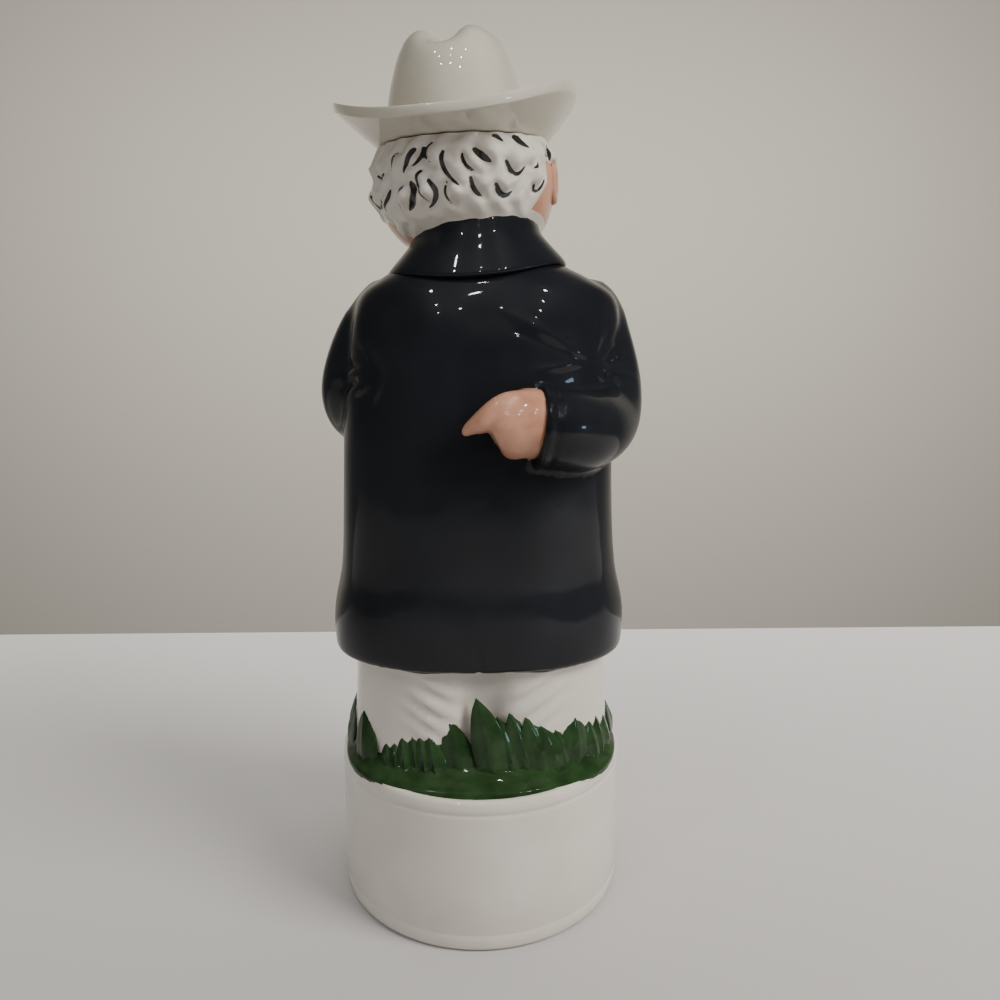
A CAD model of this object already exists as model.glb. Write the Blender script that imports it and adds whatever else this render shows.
import math
import random

import bmesh
import bpy
from mathutils import Euler, Matrix, Vector, noise
from mathutils.bvhtree import BVHTree


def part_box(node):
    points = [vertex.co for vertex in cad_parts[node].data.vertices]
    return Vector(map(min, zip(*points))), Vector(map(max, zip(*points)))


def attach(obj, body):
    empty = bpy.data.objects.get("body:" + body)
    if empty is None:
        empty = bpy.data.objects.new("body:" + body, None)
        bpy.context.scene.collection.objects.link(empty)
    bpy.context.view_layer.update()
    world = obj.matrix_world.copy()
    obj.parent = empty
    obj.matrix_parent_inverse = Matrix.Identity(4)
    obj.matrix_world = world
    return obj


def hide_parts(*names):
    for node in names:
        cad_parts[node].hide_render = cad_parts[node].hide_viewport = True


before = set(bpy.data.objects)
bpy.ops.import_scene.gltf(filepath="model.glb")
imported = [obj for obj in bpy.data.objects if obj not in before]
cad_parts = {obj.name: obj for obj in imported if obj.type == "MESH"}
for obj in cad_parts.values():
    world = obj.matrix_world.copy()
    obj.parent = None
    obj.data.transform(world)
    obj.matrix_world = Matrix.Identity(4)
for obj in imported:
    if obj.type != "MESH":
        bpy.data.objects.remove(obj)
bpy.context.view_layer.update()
bodyLow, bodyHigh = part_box("decanter_body")

# everything below is worked out in millimetres and scaled to metres at the end
baseRadius = -bodyLow.y * 1000
part = baseRadius / 46


# ---- small maths

def smooth(value, low, high):
    t = min(max((value - low) / (high - low), 0), 1)
    return t * t * (3 - 2 * t)


def mix(a, b, t):
    return a + (b - a) * t


def bump(value, centre, width):
    return math.exp(-((value - centre) / width) ** 2)


def turnBetween(a, b):
    return math.atan2(math.sin(a - b), math.cos(a - b))


def onOval(angle, halfWidth, halfDepth, squareness):
    c, s = math.cos(angle), math.sin(angle)
    x = math.copysign(abs(c) ** (2 / squareness), c)
    y = math.copysign(abs(s) ** (2 / squareness), s)
    return halfWidth * x, halfDepth * y


def rowAt(rows, share):
    # smooth curve through rows whose first number is the share
    last = len(rows) - 2
    i = 0
    while i < last and share > rows[i + 1][0]:
        i += 1
    a, b = rows[i], rows[i + 1]
    before, after = rows[max(i - 1, 0)], rows[min(i + 2, len(rows) - 1)]
    span = b[0] - a[0]
    t = min(max((share - a[0]) / span, 0), 1)
    found = []
    for k in range(1, len(a)):
        slopeA = (b[k] - before[k]) / (b[0] - before[0]) * span
        slopeB = (after[k] - a[k]) / (after[0] - a[0]) * span
        found.append((2 * t ** 3 - 3 * t ** 2 + 1) * a[k] + (t ** 3 - 2 * t ** 2 + t) * slopeA
                     + (3 * t ** 2 - 2 * t ** 3) * b[k] + (t ** 3 - t ** 2) * slopeB)
    return found


# ---- mesh makers

def outward(bm):
    bmesh.ops.recalc_face_normals(bm, faces=bm.faces)
    if bm.calc_volume(signed=True) < 0:
        bmesh.ops.reverse_faces(bm, faces=bm.faces)
    return bm


def wrapped(sides, rows, ringFor):
    # closed tube; ringFor(share) gives a function from angle to point
    bm = bmesh.new()
    bmesh.ops.create_cone(bm, cap_ends=True, segments=sides, radius1=1, radius2=1, depth=1)
    upright = [e for e in bm.edges if abs(e.verts[0].co.z - e.verts[1].co.z) > 0.5]
    bmesh.ops.subdivide_edges(bm, edges=upright, cuts=rows - 1, use_grid_fill=True)
    rings = {}
    for v in bm.verts:
        row = round((v.co.z + 0.5) * rows)
        if row not in rings:
            rings[row] = ringFor(row / rows)
        v.co = rings[row](math.atan2(v.co.y, v.co.x))
    return outward(bm)


def ball(centre, radii, sides=24):
    bm = bmesh.new()
    bmesh.ops.create_uvsphere(bm, u_segments=sides, v_segments=sides // 2, radius=1)
    bmesh.ops.scale(bm, vec=radii, verts=bm.verts)
    bmesh.ops.translate(bm, vec=centre, verts=bm.verts)
    return bm


def spun(outline, steps):
    bm = bmesh.new()
    points = [bm.verts.new((radius, 0, height)) for radius, height in outline]
    edges = [bm.edges.new(pair) for pair in zip(points, points[1:])]
    bmesh.ops.spin(bm, geom=points + edges, cent=(0, 0, 0), axis=(0, 0, 1), angle=math.tau,
                   steps=steps, use_merge=True)
    bmesh.ops.remove_doubles(bm, verts=bm.verts, dist=0.0005)
    return outward(bm)


def limb(stations, sides, rows, relief=None):
    # round limb through stations of (x, y, z, radius)
    knots = [(i / (len(stations) - 1), *station) for i, station in enumerate(stations)]
    place = [rowAt(knots, i / rows) for i in range(rows + 1)]
    frames = []
    across = Vector((1, 0, 0))
    for i in range(rows + 1):
        here = Vector(place[i][:3])
        along = Vector(place[min(i + 1, rows)][:3]) - Vector(place[max(i - 1, 0)][:3])
        along.normalize()
        across = (across - along * across.dot(along)).normalized()
        frames.append((here, across, along.cross(across), place[i][3]))

    def ringFor(share):
        here, a, b, radius = frames[round(share * rows)]

        def point(angle):
            r = radius + (relief(angle, share) if relief else 0)
            return here + a * (r * math.cos(angle)) + b * (r * math.sin(angle))
        return point
    return wrapped(sides, rows, ringFor)


def joined(parts):
    bm = bmesh.new()
    for one in parts:
        mesh = bpy.data.meshes.new("part")
        one.to_mesh(mesh)
        bm.from_mesh(mesh)
        bpy.data.meshes.remove(mesh)
    return bm


def objectFrom(bm, name):
    mesh = bpy.data.meshes.new(name)
    bm.to_mesh(mesh)
    obj = bpy.data.objects.new(name, mesh)
    bpy.context.scene.collection.objects.link(obj)
    return obj


def bake(obj):
    graph = bpy.context.evaluated_depsgraph_get()
    mesh = bpy.data.meshes.new_from_object(obj.evaluated_get(graph))
    old = obj.data
    obj.modifiers.clear()
    obj.data = mesh
    bpy.data.meshes.remove(old)


def combine(obj, bm, operation):
    other = objectFrom(bm, "tool")
    boolean = obj.modifiers.new("boolean", "BOOLEAN")
    boolean.operation = operation
    boolean.solver = "MANIFOLD"
    boolean.object = other
    bake(obj)
    mesh = other.data
    bpy.data.objects.remove(other)
    bpy.data.meshes.remove(mesh)


# ---- base and ground

base = {"height": 46.9, "wall": 4.5, "floor": 5}
groundZ = base["height"]
baseShell = spun([
    (0, 0), (43.4, 0), (44.7, 0.12), (45.5, 0.6), (45.88, 1.5),
    (45.97, 4.6), (45.85, 5.1), (45.85, 5.4), (45.98, 5.9),
    (46, 20), (46, 41.4), (45.96, 42), (45.72, 42.4), (45.7, 42.8), (45.9, 43.3),
    (45.92, 44.2), (45.8, 45.5), (45.5, 46.3), (45, 46.75), (44.3, 46.85),
    (43.6, 46.65), (42, 46.8), (38, 47.6), (34, 48.6), (30, 49), (0, 49),
], 160)

# ---- legs

leg = {"halfWidth": 41, "halfDepth": 32, "height": 33.6, "crease": 4, "squareness": 2.5}
hemZ = groundZ + leg["height"]
legRows = [(-0.1, 1.02, 1.02), (0.25, 1.01, 1), (0.58, 0.996, 0.988), (0.74, 0.99, 0.985),
           (1.08, 0.985, 0.98)]


def legPoint(angle, z, inset=0):
    share = (z - groundZ) / leg["height"]
    across, deep = rowAt(legRows, share)
    crease = leg["crease"] * (1 - inset / 9) * (
        bump(turnBetween(angle, math.radians(91)), 0, 0.1)
        + bump(turnBetween(angle, math.radians(270)), 0, 0.16))
    x, y = onOval(angle, leg["halfWidth"] * across - inset, leg["halfDepth"] * deep - inset,
                  leg["squareness"])
    return Vector((x, y - math.copysign(crease, y), z))


def trouserFolds(angle, share):
    # soft drapes that run down into the crease
    side = abs(turnBetween(angle, math.radians(91)))
    sag = 0.3 * smooth(0.6 - side, 0, 0.6)
    drape = 0
    for height, size in ((1.02, 1.7), (0.83, 1.6), (0.66, 1.2), (0.5, 0.8)):
        drape += size * bump(share, height - sag, 0.055) * bump(side, 0.32, 0.2)
    return drape


def legRing(share):
    z = mix(groundZ - 4, hemZ + 4, share)

    def point(angle):
        p = legPoint(angle, z)
        out = trouserFolds(angle, (z - groundZ) / leg["height"])
        return p + Vector((p.x, p.y, 0)).normalized() * out
    return point


legs = wrapped(220, 44, legRing)
print("legs")

# ---- coat

coat = {"length": 119.5, "halfWidth": 46.5, "halfDepth": 36}
coatRows = [
    (0, 0.972, 0.965, 2.4, 0.012),
    (0.012, 0.995, 0.993, 2.4, 0.012),
    (0.1, 0.998, 1, 2.4, 0.014),
    (0.215, 0.94, 0.965, 2.4, 0.016),
    (0.4, 0.915, 0.95, 2.4, 0.016),
    (0.66, 0.9, 0.91, 2.4, 0.005),
    (0.78, 0.895, 0.86, 2.4, -0.015),
    (0.86, 0.89, 0.8, 2.4, -0.04),
    (0.915, 0.835, 0.73, 2.4, -0.05),
    (0.955, 0.69, 0.65, 2.3, -0.04),
    (0.99, 0.54, 0.57, 2.1, -0.02),
    (1.04, 0.42, 0.54, 2, 0),
]
collarZ = hemZ + coat["length"]


def onCoat(across, back, up, radius):
    return (across * coat["halfWidth"], back * coat["halfDepth"], hemZ + up * coat["length"],
            radius * coat["halfWidth"])


def coatRelief(angle, share):
    skirt = smooth(0.5 - share, 0, 0.5) * smooth(share, 0, 0.2)
    folds = 0.8 * skirt * math.cos(angle * 7 + 0.6) * math.cos(angle * 3)
    elbow = 0.8 * bump(turnBetween(angle, math.radians(48)), 0, 0.3) * bump(share, 0.73, 0.05)
    armFold = 0.6 * bump(share, 0.72 + 0.16 * turnBetween(angle, math.radians(112)), 0.03) * bump(
        turnBetween(angle, math.radians(122)), 0, 0.32)
    shoulder = 0.5 * bump(share, 0.85, 0.05) * math.cos(angle * 9 + 1)
    return folds + elbow + armFold + shoulder


def coatRing(share):
    up = mix(0, 1.04, share)
    across, deep, squareness, left = rowAt(coatRows, up)

    def point(angle):
        x, y = onOval(angle, coat["halfWidth"] * across, coat["halfDepth"] * deep, squareness)
        out = 1 + coatRelief(angle, up) / math.hypot(x, y)
        return Vector((left * coat["halfWidth"] + x * out, y * out, hemZ + up * coat["length"]))
    return point


coatBody = wrapped(240, 130, coatRing)

leftArm = limb([
    onCoat(0.58, 0, 0.93, 0.11),
    onCoat(0.64, 0.02, 0.9, 0.16),
    onCoat(0.765, 0.06, 0.8, 0.2),
    onCoat(0.845, 0.08, 0.682, 0.213),
    onCoat(0.83, -0.16, 0.612, 0.205),
    onCoat(0.71, -0.54, 0.605, 0.19),
    onCoat(0.5, -0.84, 0.635, 0.178),
    onCoat(0.3, -1.0, 0.665, 0.17),
], 64, 90, lambda angle, share: 0.5 * bump(share, 0.94, 0.015) - 0.3 * bump(share, 0.9, 0.012))


def cuffRelief(angle, share):
    return 0.35 * bump(share, 0.975, 0.02) - 0.4 * bump(share, 0.93, 0.01) - 0.8 * smooth(share, 0.985, 1)


rightArm = limb([
    onCoat(-0.62, 0, 0.905, 0.13),
    onCoat(-0.74, 0.02, 0.888, 0.19),
    onCoat(-0.81, 0.08, 0.8, 0.205),
    onCoat(-0.85, 0.15, 0.69, 0.225),
    onCoat(-0.8, 0.36, 0.607, 0.237),
    onCoat(-0.65, 0.72, 0.582, 0.245),
    onCoat(-0.49, 0.9, 0.588, 0.243),
    onCoat(-0.33, 0.945, 0.594, 0.238),
], 96, 120, cuffRelief)


def coatFront(x, up):
    across, deep, power, left = rowAt(coatRows, up)
    inside = 1 - min(1, abs(x / (coat["halfWidth"] * across))) ** power
    return -coat["halfDepth"] * deep * inside ** (1 / power)


def frontStrip(rows, rise):
    # raised strip on the coat's front, its rows are (height share, left edge, right edge)
    def ringFor(share):
        up = mix(rows[0][0], rows[-1][0], share)
        left, right = rowAt(rows, up)

        def point(angle):
            u = 0.5 + 0.5 * math.copysign(abs(math.cos(angle)) ** 0.5, math.cos(angle))
            x = mix(left, right, u) * coat["halfWidth"]
            out = rise * math.copysign(abs(math.sin(angle)) ** 0.5, math.sin(angle))
            return Vector((x, coatFront(x, up) + out, hemZ + up * coat["length"]))
        return point
    return wrapped(32, 60, ringFor)


lapelRows = [(0.42, -0.02, 0.06), (0.55, 0.02, 0.16), (0.7, 0.07, 0.3), (0.82, 0.13, 0.4),
             (0.86, 0.15, 0.3), (0.95, 0.2, 0.42)]
lapels = [
    frontStrip(lapelRows, 1.5),
    frontStrip([(up, -far, -near) for up, near, far in lapelRows], 1.5),
    frontStrip([(0.02, -0.1, 0.02), (0.2, -0.06, 0.02), (0.43, -0.02, 0.03)], 0.9),
]
buttons = [ball((7.2, coatFront(7.2, up), hemZ + up * coat["length"]), (3, 2.1, 3))
           for up in (0.14, 0.26, 0.38)]

collar = {"halfWidth": 27, "halfDepth": 26, "height": 12, "tilt": -0.07, "saddle": 3.2, "shift": 0.8}
collarRows = [
    (0, -0.62, 0.8, 0.8),
    (0.06, -0.62, 0.93, 0.93),
    (0.1, -0.61, 0.99, 0.995),
    (0.14, -0.56, 1.015, 1.025),
    (0.18, -0.5, 1.01, 1.02),
    (0.25, -0.38, 0.985, 1),
    (0.45, 0, 0.87, 0.94),
    (0.68, 0.42, 0.75, 0.87),
    (0.84, 0.74, 0.7, 0.83),
    (0.9, 0.8, 0.675, 0.815),
    (0.95, 0.8, 0.64, 0.78),
    (1, 0.76, 0.6, 0.74),
]


def collarRing(share):
    up, across, deep = rowAt(collarRows, share)

    def point(angle):
        x, y = onOval(angle, collar["halfWidth"] * across, collar["halfDepth"] * deep, 2.2)
        dip = (0.5 - 0.5 * math.sin(angle)) ** 2 * collar["height"] * 0.5
        tilt = collar["tilt"] * x + collar["saddle"] * math.cos(angle) ** 2 * (1 - up)
        return Vector((x + collar["shift"], y, collarZ + up * collar["height"] - dip + tilt))
    return point


collarShell = wrapped(140, 44, collarRing)
bandRows = [(0, -0.5, 1), (0.5, 0.7, 1.02), (0.8, 0.95, 1.01), (1, 1.06, 0.95)]


def bandRing(share):
    up, size = rowAt(bandRows, share)

    def point(angle):
        dip = (0.5 - 0.5 * math.sin(angle)) * collar["height"] * 0.35
        ridge = 1 + 0.01 * math.sin(share * 40)
        x = 18.2 * size * ridge * math.cos(angle)
        return Vector((x + collar["shift"], 20.4 * size * ridge * math.sin(angle),
                       collarZ + up * collar["height"] - dip + collar["tilt"] * 2 * x))
    return point


neckBand = wrapped(120, 30, bandRing)
tieY, tieZ = -collar["halfDepth"] * 0.98, collarZ - collar["height"] * 0.25
tie = [ball((side * 7.15, tieY, tieZ), (6.5, 3.1, 4.2)) for side in (-1, 1)] + [
    ball((0, tieY, tieZ), (3.4, 3.4, 3.4))]
print("coat")

# ---- hands


def finger(points, sides=20, rows=24):
    return limb([onCoat(*p) for p in points], sides, rows)


reach = coat["halfWidth"]
backHand = [
    finger([(-0.42, 0.93, 0.6, 0.17), (-0.31, 0.955, 0.602, 0.21), (-0.22, 0.985, 0.597, 0.2),
            (-0.14, 1.01, 0.585, 0.18), (-0.085, 1.01, 0.576, 0.135), (-0.065, 1.01, 0.572, 0.04)], 56, 40),
    finger([(-0.3, 1.02, 0.657, 0.062), (-0.15, 1.08, 0.643, 0.08), (-0.03, 1.1, 0.612, 0.073),
            (0.055, 1.08, 0.594, 0.044), (0.085, 1.07, 0.584, 0.03), (0.1, 1.065, 0.577, 0.014)], 32, 40),
]
frontHand = [ball(onCoat(0.2, -1.06, 0.69, 0)[:3], (reach * 0.15, reach * 0.11, reach * 0.15), 32)] + [
    ball(onCoat(0.1, -1.1, 0.665 + 0.019 * i, 0)[:3], (reach * 0.11, reach * 0.075, reach * 0.032))
    for i in range(4)]

# ---- head; z = 0 is the line under the hat and the face looks along -Y

head = {"across": 4.6, "above": 33.5, "height": 34, "halfWidth": 27, "halfDepth": 28.6}
headZ = collarZ + head["above"]
headTurn = (Matrix.Rotation(math.radians(3), 4, "Y") @ Matrix.Rotation(math.radians(-7.8), 4, "X")
            @ Matrix.Rotation(math.radians(-12), 4, "Z"))
headPlace = Matrix.Translation((head["across"], 0, headZ)) @ headTurn
headBack = headPlace.inverted()
headRows = [
    (-1, 0.34, 0.33, -0.27),
    (-0.92, 0.56, 0.55, -0.21),
    (-0.8, 0.76, 0.75, -0.14),
    (-0.68, 0.88, 0.87, -0.075),
    (-0.56, 0.95, 0.95, -0.03),
    (-0.44, 0.99, 0.985, -0.01),
    (-0.32, 1, 1, 0),
    (-0.2, 0.985, 1, 0),
    (-0.1, 0.96, 0.99, 0),
    (0, 0.92, 0.965, 0),
    (0.08, 0.9, 0.95, 0),
]

# painted curls: degrees round from the back and millimetres below the hat, start, middle and end,
# then the half width of the stroke
curls = [
    ((-25, 3.4), (-32, 4.4), (-35, 6.6), 0.35),
    ((-15, 3.4), (-19, 5.6), (-23, 8.8), 0.75),
    ((-11, 3), (-13, 6), (-17, 7.5), 0.45),
    ((-5, 2), (-10, 4.6), (-5, 7.6), 0.45),
    ((1, 4.4), (1, 8.8), (9, 13.4), 0.6),
    ((11, 5.4), (13, 8.4), (19, 10.2), 0.5),
    ((18, 4.4), (21, 6), (26, 7.6), 0.95),
    ((29, 1), (32, 1.3), (35, 2.2), 0.6),
    ((43, 1.1), (47, 2.2), (51, 3.6), 0.95),
    ((35, 7.4), (41, 10.6), (48, 8.4), 0.55),
    ((70, 2.4), (73, 5), (76, 2), 0.35),
    ((53, 8.3), (57, 8.5), (59, 6.7), 0.3),
    ((55, 13.3), (59, 14.6), (66, 11.2), 0.45),
    ((15, 11.4), (17, 14.6), (22, 16.2), 0.65),
    ((29, 13.2), (33, 16), (40, 14.8), 0.7),
    ((-12, 8.8), (-15, 11.6), (-10, 16.8), 0.45),
    ((-8, 11.4), (-5, 15), (-11, 18.2), 0.7),
    ((2, 12), (0.5, 15.2), (4.5, 17.8), 0.4),
    ((-19, 11.6), (-18, 14.8), (-24, 18.4), 0.9),
    ((-26, 12.2), (-31, 15.4), (-32, 18.8), 0.7),
    ((-37, 12.6), (-40, 14.6), (-46, 17.8), 0.55),
    ((-49, 14.6), (-54, 16.4), (-62, 15.8), 0.45),
    ((-52, 8), (-46, 8.8), (-41, 7.8), 0.45),
]
random.seed(7)
for i in range(9):  # the sides, where only the edge shows
    side = -1 if i % 2 else 1
    turn = side * (82 + 3 * (i // 2)) if i < 4 else -(64 + 4.5 * (i - 4))
    high = 2 + 2.2 * (i % 3) if i < 4 else 3.5 + 3.1 * ((i * 2) % 5)
    bend = random.uniform(-4, 4)
    curls.append(((turn, high), (turn + bend, high + 2), (turn + bend * 0.3, high + 4), 0.5))


def nearStroke(turn, down, curl):
    # distance to the stroke and the share along it
    (a, b), (c, d), (e, f), halfWidth = curl
    width = head["halfWidth"] * math.pi / 180
    best, where = 99, 0
    for i in range(8):
        ends = []
        for t in (i / 8, (i + 1) / 8):
            x = (1 - t) ** 2 * a + 2 * t * (1 - t) * (2 * c - (a + e) / 2) + t * t * e
            y = (1 - t) ** 2 * b + 2 * t * (1 - t) * (2 * d - (b + f) / 2) + t * t * f
            ends.append((x * width, y))
        (x0, y0), (x1, y1) = ends
        dx, dy = x1 - x0, y1 - y0
        t = ((turn * width - x0) * dx + (down - y0) * dy) / (dx * dx + dy * dy + 1e-9)
        t = min(max(t, 0), 1)
        far = math.hypot(turn * width - x0 - dx * t, down - y0 - dy * t)
        if far < best:
            best, where = far, (i + t) / 8
    return best, where


def inkAt(turn, down):
    # more than 0 inside a stroke, in millimetres
    ink = -2
    for curl in curls:
        (a, b), (c, d), (e, f), halfWidth = curl
        if abs(turn - c) > 16 or abs(down - d) > 9:
            continue
        far, where = nearStroke(turn, down, curl)
        thick = halfWidth * (0.25 + 0.75 * math.sin(math.pi * min(1, 0.15 + where * 0.85)) ** 0.7)
        ink = max(ink, thick - far)
    return ink


def hairEdge(turn, down):
    # millimetres inside the hairline, less than 0 on the skin
    side = abs(turn)
    width = head["halfWidth"] * math.pi / 180
    earTop = 4.6
    earGap = 9
    if down > earTop:
        earGap = max(max(72 - side, side - 97) * width, earTop + 1.6 - down)
    burn = (112 - side) * width
    low = mix(25, 12 if turn > 0 else 20.5, smooth(side, 42, 76 if turn > 0 else 54)) - down
    return min(earGap, burn, low)


def hairRelief(turn, down):
    relief = 0.55 * noise.noise(Vector((turn * 0.09, down * 0.32, 4))) + 0.35 * math.sin(
        turn * 0.42 + 1.9 * math.sin(down * 0.5) + down * 0.33)
    for curl in curls:
        (a, b), (c, d), (e, f), halfWidth = curl
        if abs(turn - c) > 20 or abs(down - d) > 10:
            continue
        far, where = nearStroke(turn, down, curl)
        relief -= 0.9 * bump(far, 0, halfWidth + 0.5)
        # the lock swells on the inside of the curl
        inX, inY = (a + e) / 2 - c, (b + f) / 2 - d
        size = math.hypot(inX * 0.47, inY) + 0.01
        lobeX, lobeY = c + inX / size * 3.2, d + inY / size * 3.2
        relief += 1.5 * bump(math.hypot((turn - lobeX) * 0.47, down - lobeY), 0, 2.7)
    return relief


def faceRelief(turn, down):
    # calm, even features; turn is measured from the middle of the face
    x = turn * head["halfWidth"] * math.pi / 180
    side = abs(x)
    relief = 4.6 * bump(x, 0, 1.5 + 1.6 * smooth(down, 7, 18)) * smooth(down, 5, 17) * (
        1 - smooth(down, 17.4, 19.6))
    relief += 1.3 * bump(side, 2.6, 1.3) * bump(down, 17.2, 1.5)
    relief += 1.5 * bump(side, 8, 5) * bump(down, 6.2, 1.6) + 0.7 * bump(x, 0, 6) * bump(down, 6, 2)
    relief -= 1.8 * bump(side, 7.4, 3.2) * bump(down, 9.8, 2.4)
    relief += 1.5 * bump(side, 7.4, 2.6) * bump(down, 9.9, 1.3)
    relief += 1.6 * bump(side, 12, 5) * bump(down, 17.5, 4.5)
    relief += 1.3 * bump(x, 0, 4.6) * (bump(down, 22.3, 0.9) + bump(down, 24.5, 1.1))
    relief -= 0.8 * bump(x, 0, 5.6) * bump(down, 23.3, 0.5)
    relief += 2.2 * bump(x, 0, 5.5) * bump(down, 28.6, 3)
    return relief


def headRing(share):
    z = mix(-head["height"], head["height"] * 0.08, share)
    across, deep, back = rowAt(headRows, z / head["height"])

    def point(angle):
        turn = math.degrees(turnBetween(angle, math.pi / 2))
        x, y = onOval(angle, head["halfWidth"] * across, head["halfDepth"] * deep, 2.1)
        edge = hairEdge(turn, -z)
        hair = smooth(edge, -0.2, 0.9)
        fade = smooth(z, -head["height"], -head["height"] * 0.85)
        face = math.degrees(turnBetween(angle, -math.pi / 2))
        out = hair * (0.35 + hairRelief(turn, -z)) + (faceRelief(face, -z) if abs(face) < 75 else 0)
        out = 1 + fade * out / math.hypot(x, y)
        return headPlace @ Vector((x * out, y * out + back * head["halfDepth"], z))
    return point


headShell = wrapped(300, 100, headRing)
ears = []
for side in (-1, 1):
    ear = ball((0, 0, 0), (2.7, 4.4, 6.6), 36)
    for v in ear.verts:
        rimShare = math.hypot(v.co.y / 4.4, v.co.z / 6.6)
        v.co.x += side * (0.5 * bump(rimShare, 0.9, 0.16) - 1.5 * bump(rimShare, 0.25, 0.3))
    bmesh.ops.translate(ear, vec=(side * 26, -1.2, -11), verts=ear.verts)
    bmesh.ops.transform(ear, matrix=headPlace, verts=ear.verts)
    ears.append(ear)
print("head")

# ---- grass

backLeaves = [
    (10, 15, 4.6, 1.5), (38, 15.5, 4.9, 3.4), (54.5, 8.5, 3, 2), (59.5, 9.5, 3, 2.2),
    (64.4, 11.5, 3.2, 2.4), (69, 13, 3.3, 2.4), (73, 12.8, 3.2, 2.4), (77, 13.2, 3.3, 2.6),
    (85, 18.2, 4.8, 3.4), (93, 25, 5.2, 4.6), (99, 19, 4.4, 4), (104.5, 20, 4.6, 4.6),
    (110.5, 18.6, 4.8, 4.2), (116.5, 15.5, 4.6, 3.6), (121.5, 14.8, 4.4, 2.6), (128, 17, 5.2, -0.6),
    (140.5, 13.5, 3.4, 0.4), (148, 15, 3, 0.4), (158, 13.5, 4.4, 0),
]
frontLeaves = [(171 + 198 * (i + 0.5) / 12, 12 + 4 * math.sin(i * 2.4), 4.3, 1.2 * math.cos(i * 1.7))
               for i in range(12)]
leafRows = [(0, 0.86, 0.3), (0.2, 1.02, 0.7), (0.45, 1.08, 0.95), (0.68, 0.88, 0.75), (0.86, 0.52, 0.45),
            (0.97, 0.14, 0.25), (1, 0.02, 0.05)]


def leafBlade(turn, height, halfWidth, lean):
    angle = math.radians(turn)
    footX, footY = onOval(angle, leg["halfWidth"] + 2.1, leg["halfDepth"] + 2.1, leg["squareness"])
    facing = math.atan2(math.sin(angle) * leg["halfWidth"], math.cos(angle) * leg["halfDepth"])
    forward = 0.5 * math.sin(turn * 1.9)  # neighbours overlap

    def ringFor(share):
        width, thick = rowAt(leafRows, share)
        up = mix(-0.12, 1, share)

        def point(around):
            c, s = math.cos(around), math.sin(around)
            across = c * halfWidth * width + lean * up * (0.4 + 0.8 * up)
            ridge = 0.35 * bump(c, 0, 0.18) * (1 if s > 0 else 0)
            ribs = 0.09 * math.cos(c * 9)
            swell = s * (1.6 if s > 0 else 3) * (1 - 0.55 * abs(c))
            out = swell * thick + (ridge + ribs) * thick + forward - 2.7 * up
            return Vector((footX + out * math.cos(facing) + across * math.sin(facing),
                           footY + out * math.sin(facing) - across * math.cos(facing),
                           groundZ + up * height))
        return point
    return wrapped(24, 18, ringFor)


def turfRing(share):
    up = mix(-0.6, 2.1, share)
    out = rowAt([(-0.6, 3.6), (0.1, 3.5), (0.6, 2.3), (1.2, 1.2), (1.8, 0.4), (2.1, -1)], up)[0] * 2.6

    def point(angle):
        x, y = onOval(angle, leg["halfWidth"] + out * 0.36, leg["halfDepth"] + out, leg["squareness"])
        rough = 0.5 * noise.noise(Vector((x * 0.28, y * 0.28, up))) * smooth(up, 0, 0.5)
        return Vector((x, y + rough, groundZ + up * 2.6 + rough))
    return point


turf = wrapped(160, 18, turfRing)
leaves = [leafBlade(*row) for row in backLeaves + frontLeaves]
print("grass")

# ---- the figure's parts melted into one skin

paints = {
    "legs": joined([legs]),
    "coat": joined([coatBody, leftArm, rightArm, collarShell] + lapels + buttons),
    "skin": joined(backHand + frontHand + ears),
    "head": joined([headShell]),
    "band": joined([neckBand]),
    "tie": joined(tie),
}
trees = {name: BVHTree.FromBMesh(bm) for name, bm in paints.items()}


def eased(bm, verts, rounds):
    for i in range(rounds):
        bmesh.ops.smooth_vert(bm, verts=verts, factor=0.5, use_axis_x=True, use_axis_y=True,
                              use_axis_z=True)


def melted(parts, voxel, rounds):
    # one skin round parts that run into each other
    made = objectFrom(joined(parts), "melted")
    remesh = made.modifiers.new("remesh", "REMESH")
    remesh.mode = "VOXEL"
    remesh.voxel_size = voxel
    bake(made)
    bm = bmesh.new()
    bm.from_mesh(made.data)
    eased(bm, bm.verts, rounds)
    bpy.data.objects.remove(made)
    return bm


softParts = [legs, coatBody, leftArm, rightArm, headShell, neckBand] + lapels + buttons
softTrees = [BVHTree.FromBMesh(bm) for bm in softParts]
skin = {"voxel": 1.36, "handVoxel": 0.6, "frontHandVoxel": 0.7, "seam": 1.8, "sleeveSeam": 0.9,
        "seamRounds": 6}
skinMesh = melted(softParts, skin["voxel"], 1)


def finer(bm, wanted, cuts):
    edges = [e for e in bm.edges if wanted((e.verts[0].co + e.verts[1].co) / 2)]
    bmesh.ops.subdivide_edges(bm, edges=edges, cuts=cuts, use_grid_fill=True)


def inHair(co):
    p = headBack @ co
    turn = math.degrees(turnBetween(math.atan2(p.y, p.x), math.pi / 2))
    return -22.5 < p.z < 1.5 and abs(turn) < 100 and trees["head"].find_nearest(co)[3] < 1.5


def inFace(co):
    p = headBack @ co
    return -32 < p.z < 1 and p.y < -12 and trees["head"].find_nearest(co)[3] < 1.5


def nearSleeve(co):
    return -50 < co.x < -8 and 132 < co.z < 178 and co.y > 12


finer(skinMesh, inHair, 2)
finer(skinMesh, inFace, 1)
finer(skinMesh, nearSleeve, 1)

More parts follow.
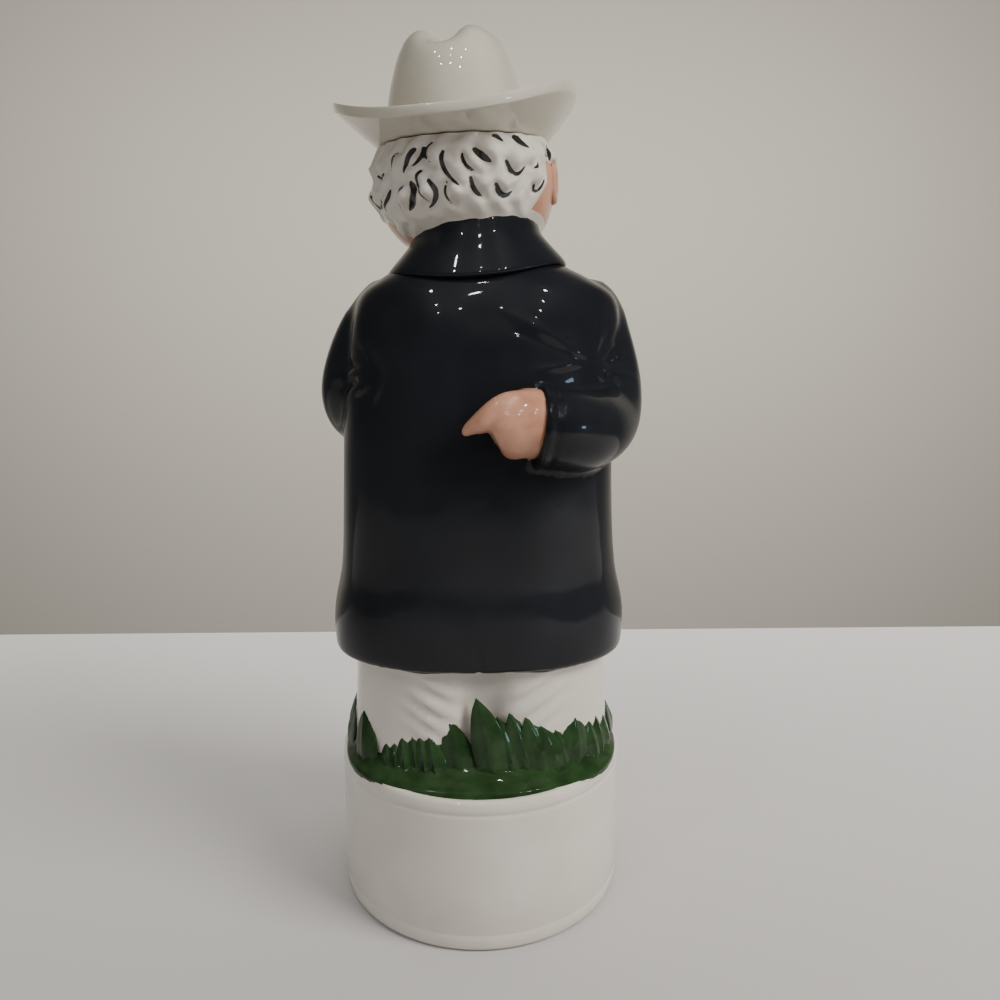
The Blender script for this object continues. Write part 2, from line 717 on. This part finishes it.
seams = []
for v in skinMesh.verts:
    found = sorted(((far, spot) for spot, normal, face, far in
                    (tree.find_nearest(v.co) for tree in softTrees)), key=lambda pair: pair[0])
    gap = found[1][0] - found[0][0]
    soft = skin["sleeveSeam"] if nearSleeve(v.co) else skin["seam"]
    v.co = v.co.lerp(found[0][1], smooth(gap, soft * 0.2, soft))
    if gap < soft:
        seams.append(v)
eased(skinMesh, seams, skin["seamRounds"])

# pressed folds on the back of the coat: start, end, height and half width, in X and Z
pleats = [
    ((-6.5, 183.5), (-31, 170.5), 0.55, 1.1),
    ((-10, 177.5), (-30, 169), -0.35, 0.9),
    ((-15.7, 167), (-31, 169.2), 0.4, 0.8),
    ((-36, 187.5), (-33, 171), 0.5, 1),
    ((-39.5, 181), (-34, 171), -0.4, 0.9),
    ((-42, 176), (-33.5, 170), 0.5, 0.9),
    ((-45, 170.5), (-35, 169), -0.4, 0.8),
    ((-47, 165), (-34.5, 168.3), 0.5, 0.9),
    ((-43, 161), (-34.5, 167), -0.4, 0.9),
    ((-38.3, 162), (-33.5, 167.5), 0.5, 0.9),
    ((27.5, 167.1), (38.5, 171.2), 0.8, 1.2),
    ((28, 167.5), (33.8, 174.8), 0.7, 1.2),
    ((28, 167), (44.7, 165.3), 0.8, 1.5),
    ((28, 166), (41.3, 158.3), 0.7, 1.5),
    ((27, 166), (31, 157), 0.6, 1.3),
    ((27, 168), (22.5, 173), 0.4, 1.2),
    ((28.5, 167.5), (36.5, 173.6), -0.5, 1),
    ((29, 167), (43, 168.6), -0.6, 1.1),
    ((29, 166), (42, 162), -0.6, 1.1),
    ((0.6, 78), (0.6, 90), -0.5, 0.7),
]
skinMesh.normal_update()
moves = []
for v in skinMesh.verts:
    if v.co.y < 4 or trees["coat"].find_nearest(v.co)[3] > 0.3:
        continue
    lift = 0
    for (x0, z0), (x1, z1), height, width in pleats:
        dx, dz = x1 - x0, z1 - z0
        t = ((v.co.x - x0) * dx + (v.co.z - z0) * dz) / (dx * dx + dz * dz)
        t = min(max(t, 0), 1)
        far = math.hypot(v.co.x - x0 - dx * t, v.co.z - z0 - dz * t)
        lift += height * bump(far, 0, width) * (0.35 + 0.65 * math.sin(math.pi * t))
    if abs(lift) > 0.01:
        moves.append((v, v.normal * lift))
for v, move in moves:
    v.co += move
print("snapped", len(skinMesh.verts))
body = objectFrom(skinMesh, "decanterBody")
skinMesh.free()

cut = bmesh.new()
bmesh.ops.create_cube(cut, size=60)
bmesh.ops.translate(cut, vec=(0, 0, 30), verts=cut.verts)
bmesh.ops.transform(cut, matrix=headPlace, verts=cut.verts)
combine(body, cut, "DIFFERENCE")
hands = [melted(backHand, skin["handVoxel"], 3), melted(frontHand, skin["frontHandVoxel"], 2)]
for bm in [collarShell] + hands + ears + tie:
    combine(body, bm, "UNION")
print("dressed", len(body.data.vertices))
grass = objectFrom(turf, "grass")
for blade in leaves:
    combine(grass, blade, "UNION")
grassMesh = bmesh.new()
grassMesh.from_mesh(grass.data)
combine(grass, baseShell, "UNION")
groundMesh = bmesh.new()
groundMesh.from_mesh(grass.data)
bpy.data.objects.remove(grass)
combine(body, groundMesh, "UNION")
print("united", len(body.data.vertices))

# ---- the hollow

wall = base["wall"]
hollows = [
    spun([(0, base["floor"]), (baseRadius - wall, base["floor"]), (baseRadius - wall, groundZ - wall),
          (0, groundZ - wall)], 96),
    wrapped(96, 4, lambda share: lambda angle: legPoint(
        angle, mix(groundZ - wall * 1.5, hemZ + wall * 1.5, share), wall)),
]


def coatHollowRing(share):
    up = mix(wall / coat["length"], 0.955, share)
    across, deep, squareness, left = rowAt(coatRows, max(up, 0.3))

    def point(angle):
        x, y = onOval(angle, coat["halfWidth"] * across - wall, coat["halfDepth"] * deep - wall, squareness)
        return Vector((left * coat["halfWidth"] + x, y, hemZ + up * coat["length"]))
    return point


hollows.append(wrapped(96, 40, coatHollowRing))


def headHollowRing(share):
    z = mix(-0.84, -0.2, share) * head["height"]
    across, deep, back = rowAt(headRows, z / head["height"])

    def point(angle):
        x, y = onOval(angle, head["halfWidth"] * across - wall, head["halfDepth"] * deep - wall, 2)
        return headPlace @ Vector((x, y + back * head["halfDepth"], z))
    return point


hollows.append(wrapped(96, 16, headHollowRing))
hollows.append(limb([(0, 0, collarZ - wall * 2.5, 11.5), (*(headPlace @ Vector((0, 0, -17))), 11.5)], 48, 4))
mouth = spun([(0, -20.4), (11, -20.4), (11, 4.5), (0, 4.5)], 96)
bmesh.ops.transform(mouth, matrix=headPlace, verts=mouth.verts)
hollows.append(mouth)
collarTree = BVHTree.FromBMesh(collarShell)
hollowTree = [BVHTree.FromBMesh(bm) for bm in hollows]
for hollow in hollows:
    combine(body, hollow, "DIFFERENCE")
print("hollowed", len(body.data.vertices))

# ---- paint, as distances in millimetres that the shader cuts off sharply

trees["green"] = BVHTree.FromBMesh(grassMesh)
trees["base"] = BVHTree.FromBMesh(baseShell)
names = ["black", "flesh", "green", "ink", "rose"]
fields = {name: [] for name in names}
turfEdge = 44.1  # radius at which the green stops on the base
features = {"eyeSide": 7.4, "eyeDown": 10.1, "browSide": 8.2, "browDown": 6, "lipDown": 23.3}
unpainted = -3


def nearest(far, name):
    # how much nearer this part is than any other
    return min(value for key, value in far.items() if key not in (name, "base")) - far[name]


def shirtAt(co, up, aboveCollar):
    if co.y >= 0 or not lapelRows[0][0] < up < 1.1:
        return unpainted
    opening = rowAt(lapelRows, up)[0] * coat["halfWidth"]
    return min(opening - abs(co.x) - 0.3, aboveCollar - 0.4)


def greenAt(co, far):
    if co.z > groundZ + 40:
        return unpainted
    if far["base"] > 0.4:
        return nearest(far, "green")
    return turfEdge - math.hypot(co.x, co.y) if co.z > groundZ - 2 else unpainted


def facePaint(front, down):
    # whites of the eyes, dark lines and lips, from the middle of the face
    side = abs(front)
    fromEye, fromBrow = side - features["eyeSide"], side - features["browSide"]
    white = 1.5 * (1 - math.hypot(fromEye / 2.9, (down - features["eyeDown"]) / 1.4))
    iris = min(white, 1.1 - math.hypot(side - 7.2, down - 10))
    lash = unpainted
    if down < 10.4:
        lash = 0.42 - abs(math.hypot(fromEye / 3, (down - 10.3) / 1.7) - 1) * 1.7
    browLine = features["browDown"] + 0.05 * fromBrow ** 2
    brow = 0.5 - math.hypot(max(0, abs(fromBrow) - 3.2), down - browLine)
    lipLine = 0.36 - math.hypot(max(0, side - 3.6), down - features["lipDown"] + 0.03 * front * front)
    lips = 1.2 * (1 - math.hypot(front / 4.2, (down - features["lipDown"] - 0.1) / 1.5))
    return white, max(iris, lash, brow, lipLine), lips


for v in body.data.vertices:
    co = v.co
    if min(tree.find_nearest(co)[3] for tree in hollowTree) < 0.1:
        for name in names:
            fields[name].append(unpainted)
        continue
    far = {name: tree.find_nearest(co)[3] for name, tree in trees.items()}
    p = headBack @ co
    turn = math.degrees(turnBetween(math.atan2(p.y, p.x), math.pi / 2))
    down = -p.z
    if co.z < groundZ + 5 and far["base"] < 0.4:
        far["green"] = max(0, math.hypot(co.x, co.y) - 43.9) if co.z > groundZ - 3 else 5
    aboveCollar = collarTree.find_nearest(co)[3]
    shirt = shirtAt(co, (co.z - hemZ) / coat["length"], aboveCollar)
    onHead = nearest(far, "head")
    bare = -hairEdge(turn, down) if down < 40 else unpainted
    # the shirt band shows over the collar on the right and in front
    band = 2.6 * max(smooth(-co.x, 4, 12), smooth(-co.y, 8, 16))
    flesh = max(nearest(far, "skin"), min(onHead, bare, aboveCollar - band))
    ink, rose = unpainted, unpainted
    if onHead > -0.5:
        if hairEdge(turn, down) > -1 and down < 26:
            ink = inkAt(turn, down)
        if p.y < 0:
            front = turnBetween(math.atan2(p.y, p.x), -math.pi / 2) * head["halfWidth"]
            white, lines, rose = facePaint(front, down)
            ink = max(ink, lines)
            flesh = min(flesh, -white)
    fields["black"].append(max(min(nearest(far, "coat"), -shirt), nearest(far, "tie")))
    fields["flesh"].append(flesh)
    fields["green"].append(greenAt(co, far))
    fields["ink"].append(ink)
    fields["rose"].append(rose)
for name in names:
    body.data.attributes.new(name, "FLOAT", "POINT").data.foreach_set("value", fields[name])
print("painted")

# ---- hat

hat = {"halfWidth": 35.6, "halfDepth": 41, "thick": 2.6, "sideLift": 12.8, "endLift": 3.6, "shift": 1.4,
       "gap": 0.3, "wall": 3.2}
crown = {"halfWidth": 20.8, "halfDepth": 25.5, "height": 30.2, "dent": 5.6}
crownRows = [
    (0.0, 0.1, 1.06, 1.05, 0),
    (0.08, 0.2, 1, 1, 0),
    (0.26, 0.42, 0.945, 0.95, 0),
    (0.46, 0.66, 0.84, 0.875, 0),
    (0.6, 0.82, 0.745, 0.79, 0.25),
    (0.7, 0.94, 0.62, 0.69, 0.7),
    (0.8, 1, 0.44, 0.56, 1),
    (0.9, 0.94, 0.22, 0.44, 0.85),
    (1, 0.89, 0.06, 0.36, 0.45),
]
plug = {"radius": 11 - 0.75, "length": 14}


def brimPoint(angle, share, above):
    seatX, seatY = onOval(angle, head["halfWidth"] * 0.92, head["halfDepth"] * 0.965, 2.1)
    edgeX, edgeY = onOval(angle, hat["halfWidth"], hat["halfDepth"], 2)
    lift = mix(hat["endLift"], hat["sideLift"], abs(math.cos(angle)) ** 2.4)
    return Vector((mix(seatX, edgeX + hat["shift"], share), mix(seatY, edgeY, share),
                   hat["gap"] + (lift - hat["thick"] / 2) * max(share, 0) ** 1.15 + above))


def crownPoint(angle, share, inset):
    up, across, deep, dent = rowAt(crownRows, share)
    pinch = 1 - 0.16 * up * max(0, -math.sin(angle)) ** 2
    x, y = onOval(angle, max(crown["halfWidth"] * across * pinch - inset, 0.4),
                  max(crown["halfDepth"] * deep - inset, 0.4), 2.1)
    z = crown["height"] * up - crown["dent"] * dent * abs(math.sin(angle)) ** 7
    return Vector((x + hat["shift"], y, z - inset))


def disc(radius, z):
    return lambda angle: Vector((radius * math.cos(angle), radius * math.sin(angle), z))


bore = plug["radius"] - hat["wall"]
low = -plug["length"]
edgeSteps = 8
hatRings = []
for i in range(14):  # inside of the crown, from its top down
    share = mix(0.56, 0.08, i / 13)
    hatRings.append(lambda angle, share=share: crownPoint(angle, share, hat["wall"]))
hatRings.append(lambda angle: Vector((*crownPoint(angle, 0.08, hat["wall"]).xy, 3.5)))
for i in range(10):
    hatRings.append(disc(bore, mix(3.5, low, i / 9)))
for i in range(4):
    hatRings.append(disc(mix(bore, plug["radius"] - 0.8, (i + 1) / 4), low))
for i in range(14):
    hatRings.append(disc(plug["radius"], mix(low + 0.8, hat["gap"], i / 13)))
for i in range(10):
    hatRings.append(lambda angle, t=(i + 1) / 10: Vector((
        mix(plug["radius"] * math.cos(angle), brimPoint(angle, 0, 0).x, t),
        mix(plug["radius"] * math.sin(angle), brimPoint(angle, 0, 0).y, t), hat["gap"])))
for i in range(26):
    hatRings.append(lambda angle, t=(i + 1) / 26: brimPoint(angle, t * 0.97, 0))
for i in range(edgeSteps):
    turnShare = (i + 1) / (edgeSteps + 1) * math.pi
    hatRings.append(lambda angle, a=turnShare: brimPoint(
        angle, 0.97 + 0.03 * math.sin(a), hat["thick"] * (0.5 - 0.5 * math.cos(a))))
for i in range(22):
    hatRings.append(lambda angle, t=i / 21: brimPoint(angle, mix(0.965, 0.3, t), hat["thick"]))


def crownOuter(angle, t):
    # the crown grows out of the brim in a short hollow curve
    foot = brimPoint(angle, 0.3, hat["thick"])
    wallPoint = crownPoint(angle, 0.12, 0)
    return foot * (1 - t) ** 2 + (foot * 0.35 + Vector((wallPoint.x, wallPoint.y, foot.z)) * 0.65) * (
        2 * t * (1 - t)) + wallPoint * t ** 2


for i in range(8):
    hatRings.append(lambda angle, t=(i + 1) / 8: crownOuter(angle, t))
for i in range(64):
    hatRings.append(lambda angle, share=mix(0.12, 1, (i + 1) / 64): crownPoint(angle, share, 0))

hatMesh = wrapped(160, len(hatRings) - 1, lambda share: hatRings[round(share * (len(hatRings) - 1))])
bmesh.ops.transform(hatMesh, matrix=headPlace, verts=hatMesh.verts)
hatStopper = objectFrom(hatMesh, "hatStopper")
print("hat", len(hatStopper.data.vertices))


def dropPockets(bm, fewest):
    # slivers sealed in between the leaves and the legs
    left = set(bm.verts)
    while left:
        shell = {left.pop()}
        edge = list(shell)
        while edge:
            v = edge.pop()
            for near in (e.other_vert(v) for e in v.link_edges):
                if near not in shell:
                    shell.add(near)
                    edge.append(near)
        left -= shell
        if len(shell) < fewest:
            bmesh.ops.delete(bm, geom=list(shell), context="VERTS")


for piece in (body, hatStopper):
    shaped = bmesh.new()
    shaped.from_mesh(piece.data)
    dropPockets(shaped, 100)
    bmesh.ops.scale(shaped, vec=(0.001 * part,) * 3, verts=shaped.verts)
    for face in shaped.faces:
        face.smooth = True
    shaped.to_mesh(piece.data)
    shaped.free()
    piece.data.set_sharp_from_angle(angle=math.radians(55))

# ---- materials


def node(tree, kind, **values):
    made = tree.nodes.new(kind)
    for key, value in values.items():
        setattr(made, key, value)
    return made


def mixColour(tree, factor, a, b):
    made = node(tree, "ShaderNodeMix", data_type="RGBA")
    if factor is not None:
        tree.links.new(factor, made.inputs["Factor"])
    for value, spot in ((a, 6), (b, 7)):
        if isinstance(value, tuple):
            made.inputs[spot].default_value = (*value, 1)
        else:
            tree.links.new(value, made.inputs[spot])
    return made.outputs[2]


def noiseValue(tree, scale, detail=3, rough=0.5):
    made = node(tree, "ShaderNodeTexNoise")
    made.inputs["Scale"].default_value = scale
    made.inputs["Detail"].default_value = detail
    made.inputs["Roughness"].default_value = rough
    tree.links.new(tree.nodes["Coord"].outputs["Object"], made.inputs["Vector"])
    return made.outputs["Fac"]


def ranged(tree, value, fromMin, fromMax, toMin=0.0, toMax=1.0):
    made = node(tree, "ShaderNodeMapRange")
    tree.links.new(value, made.inputs["Value"])
    for key, number in (("From Min", fromMin), ("From Max", fromMax), ("To Min", toMin), ("To Max", toMax)):
        made.inputs[key].default_value = number
    return made.outputs["Result"]


def maths(tree, operation, a, b):
    made = node(tree, "ShaderNodeMath", operation=operation)
    for value, spot in ((a, 0), (b, 1)):
        if isinstance(value, (int, float)):
            made.inputs[spot].default_value = value
        else:
            tree.links.new(value, made.inputs[spot])
    return made.outputs[0]


def glazed(name):
    material = bpy.data.materials.new(name)
    material.use_nodes = True
    tree = material.node_tree
    shader = tree.nodes["Principled BSDF"]
    coord = node(tree, "ShaderNodeTexCoord")
    coord.name = "Coord"
    return material, tree, shader


def finishGlaze(tree, shader, colour, rough, gloss=None):
    tree.links.new(colour, shader.inputs["Base Color"])
    tree.links.new(rough, shader.inputs["Roughness"])
    shader.inputs["Coat Weight"].default_value = 1
    if gloss is not None:
        tree.links.new(gloss, shader.inputs["Coat Weight"])
    shader.inputs["Coat Roughness"].default_value = 0.03
    shader.inputs["IOR"].default_value = 1.5
    shader.inputs["Specular IOR Level"].default_value = 0.1
    wave = node(tree, "ShaderNodeBump")
    wave.inputs["Strength"].default_value = 0.07
    wave.inputs["Distance"].default_value = 0.0006
    swell = maths(tree, "MULTIPLY", noiseValue(tree, 38, 2), 4)
    tree.links.new(maths(tree, "ADD", swell, noiseValue(tree, 120, 2)), wave.inputs["Height"])
    tree.links.new(wave.outputs["Normal"], shader.inputs["Normal"])
    tree.links.new(wave.outputs["Normal"], shader.inputs["Coat Normal"])


def ivoryColour(tree, dark, light):
    return mixColour(tree, ranged(tree, noiseValue(tree, 40, 4), 0.35, 0.65), dark, light)


bodyMaterial, tree, shader = glazed("bodyGlaze")


def field(name, wobble, low=-0.06, high=0.06):
    read = node(tree, "ShaderNodeAttribute", attribute_name=name, attribute_type="GEOMETRY")
    shift = ranged(tree, noiseValue(tree, 500, 2), 0, 1, -wobble, wobble)
    return ranged(tree, maths(tree, "ADD", read.outputs["Fac"], shift), low, high)


fleshColour = mixColour(tree, ranged(tree, noiseValue(tree, 160, 5), 0.35, 0.7),
                        (0.45, 0.21, 0.125), (0.57, 0.3, 0.2))
greenColour = mixColour(tree, ranged(tree, noiseValue(tree, 150, 5), 0.3, 0.7),
                        (0.011, 0.028, 0.008), (0.026, 0.06, 0.02))
blackColour = mixColour(tree, ranged(tree, noiseValue(tree, 50, 4), 0.35, 0.65),
                        (0.0075, 0.0085, 0.0108), (0.011, 0.0122, 0.0152))
colour = ivoryColour(tree, (0.62, 0.575, 0.5), (0.68, 0.635, 0.565))
colour = mixColour(tree, field("flesh", 0.15), colour, fleshColour)
colour = mixColour(tree, field("rose", 0.1), colour, (0.45, 0.12, 0.09))
colour = mixColour(tree, field("ink", 0.12), colour, (0.02, 0.02, 0.018))
green = field("green", 0.3)
black = field("black", 0.1)
colour = mixColour(tree, green, colour, greenColour)
colour = mixColour(tree, black, colour, blackColour)
rough = ranged(tree, noiseValue(tree, 60, 3), 0.3, 0.7, 0.28, 0.38)
gloss = maths(tree, "SUBTRACT", 1, maths(tree, "MULTIPLY", maths(tree, "ADD", black, green), 0.6))
finishGlaze(tree, shader, colour, rough, gloss)

hatMaterial, hatTree, hatShader = glazed("hatGlaze")
finishGlaze(hatTree, hatShader, ivoryColour(hatTree, (0.51, 0.47, 0.38), (0.57, 0.53, 0.45)),
            ranged(hatTree, noiseValue(hatTree, 60, 3), 0.3, 0.7, 0.28, 0.38))

for piece, material, nodeName, slotName in ((body, bodyMaterial, "decanter_body", "body_glaze"),
                                            (hatStopper, hatMaterial, "hat_stopper", "hat_glaze")):
    piece.data.materials.clear()
    piece.data.materials.append(material)
    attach(piece, "root")
    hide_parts(nodeName)
    piece.data.calc_loop_triangles()
    print(piece.name, len(piece.data.loop_triangles), "triangles")

# ---- floor, backdrop, light and camera


def plainMaterial(name, colour, roughness):
    material = bpy.data.materials.new(name)
    material.use_nodes = True
    shader = material.node_tree.nodes["Principled BSDF"]
    shader.inputs["Base Color"].default_value = (*colour, 1)
    shader.inputs["Roughness"].default_value = roughness
    return material


def plane(name, size, place, turn, material):
    bm = bmesh.new()
    bmesh.ops.create_grid(bm, x_segments=1, y_segments=1, size=0.5)
    bmesh.ops.scale(bm, vec=(*size, 1), verts=bm.verts)
    matrix = Matrix.Translation(place) @ Euler(turn).to_matrix().to_4x4()
    bmesh.ops.transform(bm, matrix=matrix, verts=bm.verts)
    made = objectFrom(bm, name)
    made.data.materials.append(material)
    return made


floorPaint = plainMaterial("floorPaint", (0.52, 0.505, 0.495), 0.8)
wallPaint = plainMaterial("wallPaint", (0.5, 0.47, 0.41), 0.9)
floor = plane("floor", (3, 1.743), (0, 0.6285, -0.0002), (0, 0, 0), floorPaint)
backdrop = plane("backdrop", (6, 4), (0, -1, 0), (math.radians(90), 0, 0), wallPaint)


def areaLight(name, place, aim, size, power, colour, mirrored):
    data = bpy.data.lights.new(name, "AREA")
    data.shape = "RECTANGLE"
    data.size, data.size_y = size
    data.energy = power
    data.color = colour
    lamp = bpy.data.objects.new(name, data)
    lamp.location = place
    lamp.visible_glossy = mirrored
    lamp.rotation_euler = (Vector(aim) - Vector(place)).to_track_quat("-Z", "Y").to_euler()
    bpy.context.scene.collection.objects.link(lamp)


areaLight("key", (-0.8, 0.45, 0.8), (0, 0, 0.12), (0.5, 0.5), 15, (1, 0.96, 0.91), False)
areaLight("side", (0.9, 0.6, 0.6), (0, 0, 0.12), (0.8, 0.8), 2.5, (0.94, 0.97, 1), False)
areaLight("wallLight", (0, -0.3, 0.55), (0, -1, -0.1), (1.6, 0.4), 9.5, (1, 0.97, 0.93), False)
areaLight("window", (-0.9, 0.55, 0.25), (0, 0, 0.15), (0.12, 0.1), 0.6, (0.55, 0.75, 1), True)
for i in range(9):  # a ceiling of small lamps that the glaze mirrors
    place = (0.5 - 0.5 * (i % 3), 0.55 + 0.45 * (i // 3), 1.35)
    areaLight(f"lamp{i}", place, (0, 0, 0.15), (0.035, 0.035), 0.8, (1, 0.97, 0.93), True)

world = bpy.data.worlds.new("world")
world.use_nodes = True
world.node_tree.nodes["Background"].inputs["Color"].default_value = (0.9, 0.95, 1, 1)
world.node_tree.nodes["Background"].inputs["Strength"].default_value = 0.09
bpy.context.scene.world = world

cameraData = bpy.data.cameras.new("camera")
cameraData.lens = 27.2
cameraData.sensor_width = 36
camera = bpy.data.objects.new("camera", cameraData)
camera.location = (0, 0.2425, 0.1636)
camera.rotation_euler = (math.radians(90 - 8.84), 0, math.radians(178.5))
bpy.context.scene.collection.objects.link(camera)
bpy.context.scene.camera = camera
